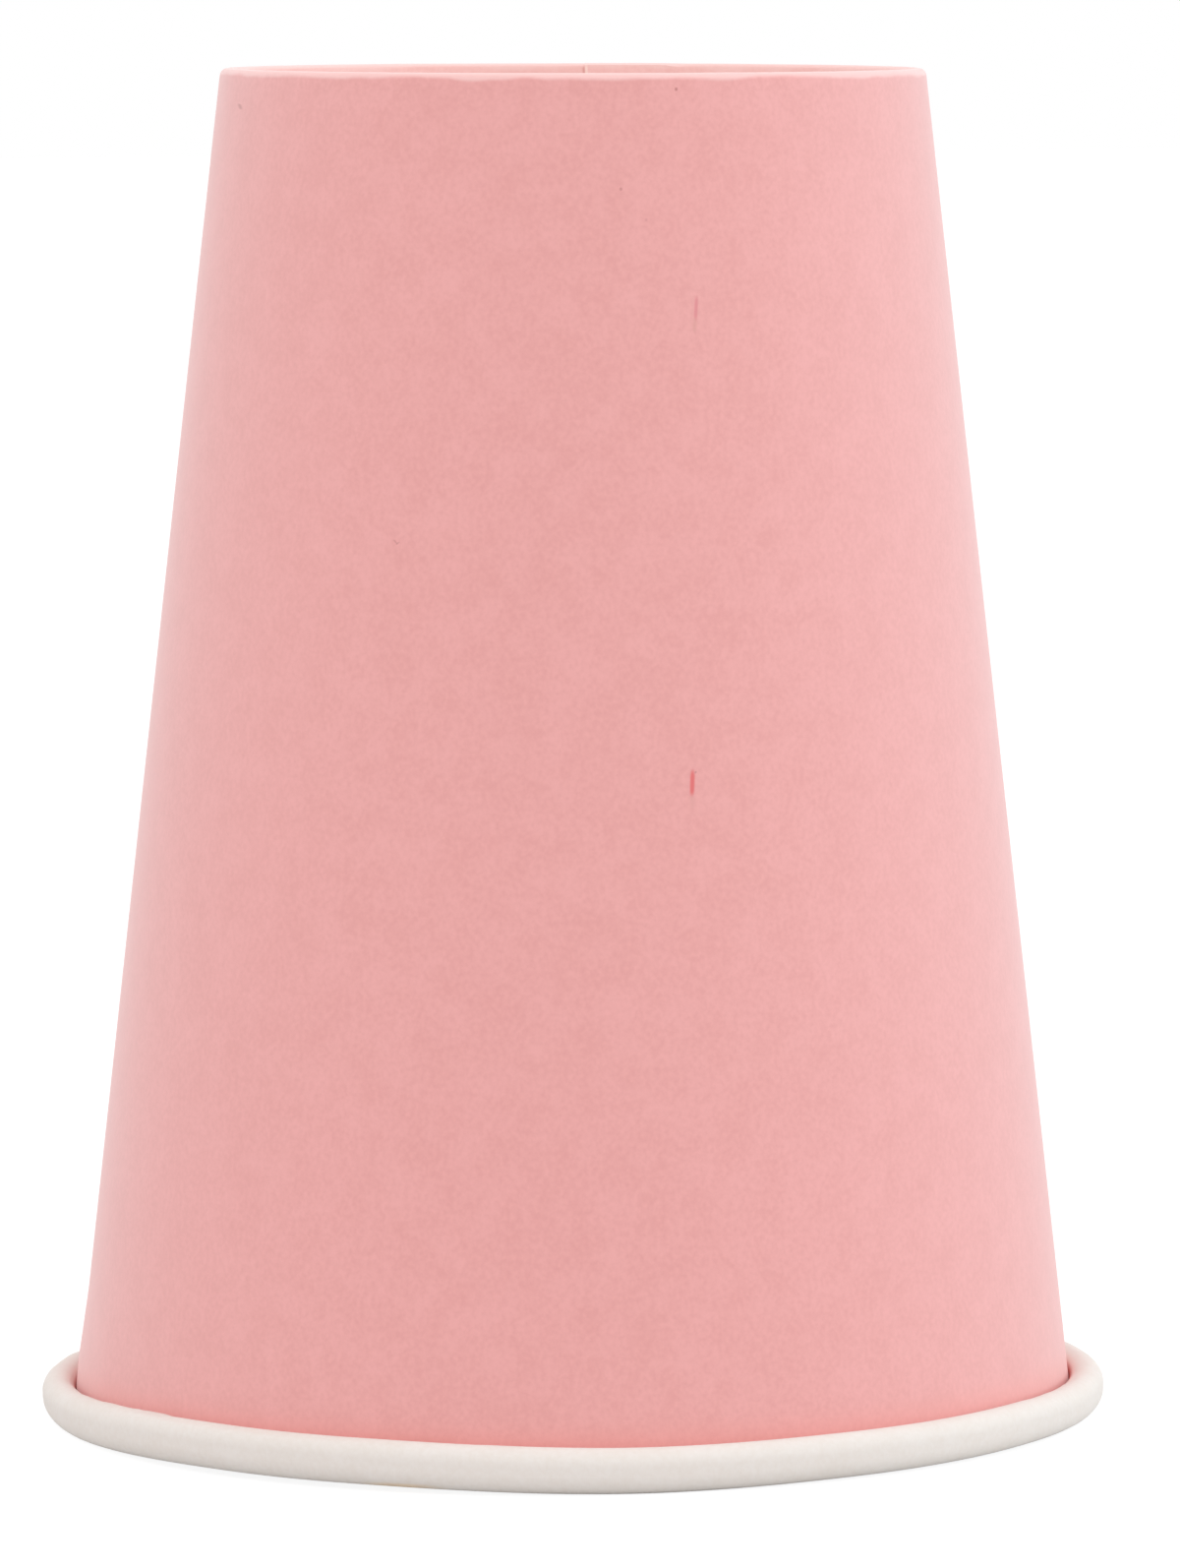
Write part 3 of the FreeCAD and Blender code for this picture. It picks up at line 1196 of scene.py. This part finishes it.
@dataclass
class BaseDisc:
    """The base: a flat disc that turns up into a skirt inside the wall."""

    sizes: CupSizes
    segments: int = 240
    drawn_flat: float = 0.9                      # share of the bend's radius drawn as a disc
    rings: tuple[float, ...] = (0.25, 0.35)      # widths of its outer rings, in its radius
    on_edge: float = 0.999                       # share of its radius that counts as its edge

    def outline(self) -> Outline:
        """Draw the centre line of the base's paper, from the flat disc to the skirt's edge.

        Returns:
            The section.
        """
        s = self.sizes
        half = s.paper / 2
        floor = s.height - s.recess
        bend_at = s.face(floor + s.base_bend, 2 * s.paper + s.base_bend)
        tilt = math.degrees(math.atan(s.slope))
        section = Outline([(bend_at[0] * self.drawn_flat, floor - half)])
        section.arc(bend_at, s.base_bend + half, -90, tilt, pieces=8)
        section.line(s.face(s.height - s.paper - s.skirt_clearance, s.paper + half), pieces=8)
        return section

    def build(self) -> bpy.types.Object:
        """Start from a disc and draw its edge out and up.

        Returns:
            The base, without thickness.
        """
        points = self.outline().points
        disc, level = points[0]
        deselect_everything()
        bpy.ops.mesh.primitive_circle_add(
            vertices=self.segments, radius=disc, fill_type="NGON", location=(0, 0, level),
        )
        base = bpy.context.active_object
        base.name = base.data.name = "paper_base"
        bpy.ops.object.transform_apply(location=True, rotation=True, scale=True)
        bpy.ops.object.mode_set(mode="EDIT")
        bpy.ops.mesh.select_mode(type="VERT")
        bpy.ops.mesh.select_all(action="SELECT")
        for ring in self.rings:
            bpy.ops.mesh.inset(thickness=disc * ring, depth=0)
        choose(base, lambda vertex: vertex.co.xy.length > disc * self.on_edge)
        for (radius, height), (next_radius, next_height) in zip(points, points[1:]):
            rise = (0, 0, next_height - height)
            grow = next_radius / radius
            bpy.ops.mesh.extrude_edges_move(TRANSFORM_OT_translate={"value": rise})
            bpy.ops.transform.resize(value=(grow, grow, 1), center_override=(0, 0, next_height))
        bpy.ops.mesh.select_all(action="SELECT")
        bpy.ops.mesh.normals_make_consistent(inside=False)
        bpy.ops.object.mode_set(mode="OBJECT")
        return base

    def dress(self, base: bpy.types.Object, papers: dict[Paper, bpy.types.Material]) -> None:
        """Give the base its materials."""
        for paper in (Paper.BASE, Paper.BASE, Paper.CUT_EDGE):
            base.data.materials.append(papers[paper])


@dataclass
class PaperCup:
    """The whole cup: both sheets, dressed and put a little out of true."""

    sizes: CupSizes
    lean: tuple[float, float] = (1.04 * MM, -0.79 * MM)    # of the base ring from the rim's middle
    roll_swell: float = 0.17 * MM      # how much taller the roll is at -X, and lower at +X
    swell_starts: float = 0.05 * MM    # outside the foot of the cone
    swell_fade: float = 0.6 * MM       # width of the roll, from there out, where it sets in
    fold_waver: float = 0.16 * MM
    waver_size: float = 5 * MM
    waver_full: float = 1 * MM         # depth below the fold's top down to which it is whole
    waver_ends: float = 3 * MM         # depth at which it has faded out
    stiff_top: float = 0.35 * MM       # depth of the fold's top, which wavers less
    stiff_share: float = 0.25          # how much of the waver is left there
    cage_width: float = 2.4            # in rim radii, wider than the cup

    def build(self) -> list[bpy.types.Object]:
        """Model, shape and dress both sheets.

        Returns:
            The side wall and the base.
        """
        papers = CupFinishes(self.sizes, self.lean).materials()
        sheet, disc = SideWall(self.sizes), BaseDisc(self.sizes)
        wall, base = sheet.build(), disc.build()
        sheet.dress(wall, papers)
        disc.dress(base, papers)
        self.waver_fold(wall)
        for piece in (wall, base):
            thicken(piece, self.sizes.paper)
            self.lean_over(piece)
        self.swell_roll(wall)
        for piece in (wall, base):
            apply_modifiers(piece)
            smooth(piece)
        for rig in [item for item in bpy.data.objects if item.type == "LATTICE"]:
            bpy.data.objects.remove(rig)
        return [wall, base]

    def waver_fold(self, wall: bpy.types.Object) -> None:
        """Let the folded edge wander a little in and out, as creased paper does.

        Args:
            wall: the side wall, without thickness.
        """
        texture = bpy.data.textures.new("fold waver", "CLOUDS")
        texture.noise_scale = self.waver_size
        group = wall.vertex_groups.new(name="fold")
        for vertex in wall.data.vertices:
            below = self.sizes.height - vertex.co.z
            share = clamp((self.waver_ends - below) / (self.waver_ends - self.waver_full))
            if below <= self.stiff_top:
                share = self.stiff_share
            if share > 0:
                group.add([vertex.index], share, "REPLACE")
        waver = wall.modifiers.new("fold waver", "DISPLACE")
        waver.texture = texture
        waver.texture_coords = "LOCAL"
        waver.vertex_group = group.name
        waver.strength = self.fold_waver
        waver.mid_level = 0.5

    def cage(self, name: str, centre: Place, size: Place) -> bpy.types.Object:
        """Add a lattice of eight corners round part of the cup.

        Args:
            name: the lattice's name.
            centre: its middle.
            size: its three sides.

        Returns:
            The lattice.
        """
        deselect_everything()
        bpy.ops.object.add(type="LATTICE", location=centre)
        rig = bpy.context.active_object
        rig.name = name
        rig.data.points_u = rig.data.points_v = rig.data.points_w = 2
        for axis in ("u", "v", "w"):
            setattr(rig.data, "interpolation_type_" + axis, "KEY_LINEAR")
        rig.scale = size
        return rig

    def lean_over(self, piece: bpy.types.Object) -> None:
        """Lean a piece over, more with height, while the rim stays flat.

        Args:
            piece: the side wall or the base.
        """
        s = self.sizes
        width = self.cage_width * s.rim
        rig = self.cage("lean " + piece.name, (0, 0, s.height / 2), (width, width, s.height))
        across, along = self.lean
        for point in rig.data.points:
            if point.co.z > 0:
                place = point.co * rig.scale.x
                drop = (across * place.x + along * place.y) / s.height
                point.co_deform.x += across / rig.scale.x
                point.co_deform.y += along / rig.scale.y
                point.co_deform.z -= drop / rig.scale.z
        piece.modifiers.new("lean", "LATTICE").object = rig

    def swell_roll(self, wall: bpy.types.Object) -> None:
        """Make the roll taller on one side than on the other.

        Args:
            wall: the side wall.
        """
        s = self.sizes
        group = wall.vertex_groups.new(name="roll")
        starts = s.foot + self.swell_starts
        over_roll = 1.01 * s.curl_height
        for vertex in wall.data.vertices:
            out = vertex.co.xy.length - starts
            if vertex.co.z < over_roll and out > 0:
                group.add([vertex.index], clamp(out / self.swell_fade), "REPLACE")
        size = (2 * s.rim, self.cage_width * s.rim, s.curl_height)
        rig = self.cage("roll", (0, 0, s.curl_height / 2), size)
        for point in rig.data.points:
            if point.co.z > 0:
                point.co_deform.z -= math.copysign(self.roll_swell, point.co.x) / rig.scale.z
        swell = wall.modifiers.new("roll swell", "LATTICE")
        swell.object = rig
        swell.vertex_group = group.name


# ---------------------------------------------------------------- studio


@dataclass(frozen=True)
class SoftBox:
    """A square soft lamp: its middle and side in metres, and its power."""

    name: str
    place: Place
    side: float
    watts: float
    colour: Colour = (1.0, 1.0, 1.0)

    def hang(self, lit_point: Place) -> None:
        """Add the lamp, facing a point.

        Args:
            lit_point: what it faces.
        """
        data = bpy.data.lights.new(self.name, "AREA")
        data.size = self.side
        data.energy = self.watts
        data.color = self.colour
        lamp = bpy.data.objects.new(self.name, data)
        bpy.context.collection.objects.link(lamp)
        lamp.location = self.place
        aim = Vector(lit_point) - lamp.location
        lamp.rotation_euler = aim.to_track_quat("-Z", "Y").to_euler()


SOFT_BOXES = (
    SoftBox("left soft box", (-1.1, 0.05, 0.35), 0.8, 0.8),
    SoftBox("right soft box", (1.1, 0.1, 0.35), 0.8, 3.6, (0.84, 1.0, 1.06)),
    SoftBox("top soft box", (0.0, -0.2, 1.3), 0.9, 3.2),
    SoftBox("front soft box", (0.0, -0.9, 1.0), 0.8, 1.8),
)


def grey(value: float) -> tuple[float, float, float, float]:
    """A neutral colour, from 0 for black to 1 for white."""
    return value, value, value, 1.0


@dataclass
class Studio:
    """Pale floor, soft light from both sides and above, and the camera.

    Lengths are in metres and angles in radians. The lens and the sensor are in millimetres.
    """

    distance: float = 0.700
    eye_height: float = 0.11836
    pitch: float = 0.0932
    yaw: float = -0.00272
    roll: float = -0.0092
    lens: float = 191.134253
    sensor: float = 36.0
    clip_start: float = 0.01
    lit_point: Place = (0.0, 0.0, 0.06)
    floor_side: float = 12.0
    floor_grey: float = 0.74           # of the floor that throws light on the cup
    seen_grey: float = 0.2             # of the floor that is looked at, with the cup's shadow
    seen_glow: float = 0.9             # added to that, up to white
    world_light: float = 0.86          # of the world that lights the cup

    def camera(self) -> None:
        """Add the camera and make it the scene's own."""
        data = bpy.data.cameras.new("camera")
        data.sensor_width = self.sensor
        data.lens = self.lens
        data.clip_start = self.clip_start
        view = bpy.data.objects.new("camera", data)
        bpy.context.collection.objects.link(view)
        turn = (
            Matrix.Rotation(self.yaw, 4, "Z")
            @ Matrix.Rotation(math.pi / 2 - self.pitch, 4, "X")
            @ Matrix.Rotation(self.roll, 4, "Z")
        )
        view.matrix_world = Matrix.Translation((0, -self.distance, self.eye_height)) @ turn
        bpy.context.scene.camera = view

    def floor_material(self) -> bpy.types.Material:
        """Build a floor that looks white and keeps the cup's soft shadow.

        Returns:
            The new material.
        """
        material = bpy.data.materials.new("white floor")
        material.use_nodes = True
        nodes = material.node_tree.nodes
        nodes.remove(nodes["Principled BSDF"])
        w = Wiring(material.node_tree)
        matte = w.node("ShaderNodeBsdfDiffuse")
        matte.inputs["Color"].default_value = grey(self.floor_grey)
        seen = w.node("ShaderNodeBsdfDiffuse")
        seen.inputs["Color"].default_value = grey(self.seen_grey)
        glow = w.node("ShaderNodeEmission")
        glow.inputs["Color"].default_value = grey(1.0)
        glow.inputs["Strength"].default_value = self.seen_glow
        lifted = w.node("ShaderNodeAddShader")
        w.feed(seen.outputs[0], lifted.inputs[0])
        w.feed(glow.outputs[0], lifted.inputs[1])
        mix = w.node("ShaderNodeMixShader")
        w.feed(w.seen_directly(), mix.inputs[0])
        w.feed(matte.outputs[0], mix.inputs[1])
        w.feed(lifted.outputs[0], mix.inputs[2])
        w.feed(mix.outputs[0], nodes["Material Output"].inputs["Surface"])
        return material

    def floor(self) -> None:
        """Add a wide floor."""
        deselect_everything()
        bpy.ops.mesh.primitive_plane_add(size=self.floor_side, location=(0, 0, 0))
        floor = bpy.context.active_object
        floor.name = "floor"
        floor.data.materials.append(self.floor_material())

    def world(self) -> None:
        """White to the camera and in reflections, and a soft even light besides."""
        world = bpy.data.worlds.new("studio")
        bpy.context.scene.world = world
        world.use_nodes = True
        w = Wiring(world.node_tree)
        glow = world.node_tree.nodes["Background"]
        glow.inputs["Color"].default_value = grey(1.0)
        strength = w.spread(w.seen_directly(), 0.0, 1.0, self.world_light, 1.0)
        w.feed(strength, glow.inputs["Strength"])

    def build(self) -> None:
        """Set the stage."""
        self.floor()
        self.world()
        for box in SOFT_BOXES:
            box.hang(self.lit_point)
        self.camera()
        bpy.context.scene.view_settings.view_transform = "Standard"


# ---------------------------------------------------------------- scene


def main() -> None:
    """Build the cup and its studio."""
    logging.basicConfig(level=logging.INFO, format="%(name)s: %(message)s")
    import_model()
    wall, base = PaperCup(CupSizes.from_frame()).build()
    for piece, node, slot in (
        (wall, "side_wall", "printed_paper"),
        (base, "base_disc", "base_paper"),
    ):
        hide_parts(node)
        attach(piece, "root")
        log.info("%s: %d faces", piece.name, len(piece.data.polygons))
    Studio().build()


if __name__ == "__main__":
    main()
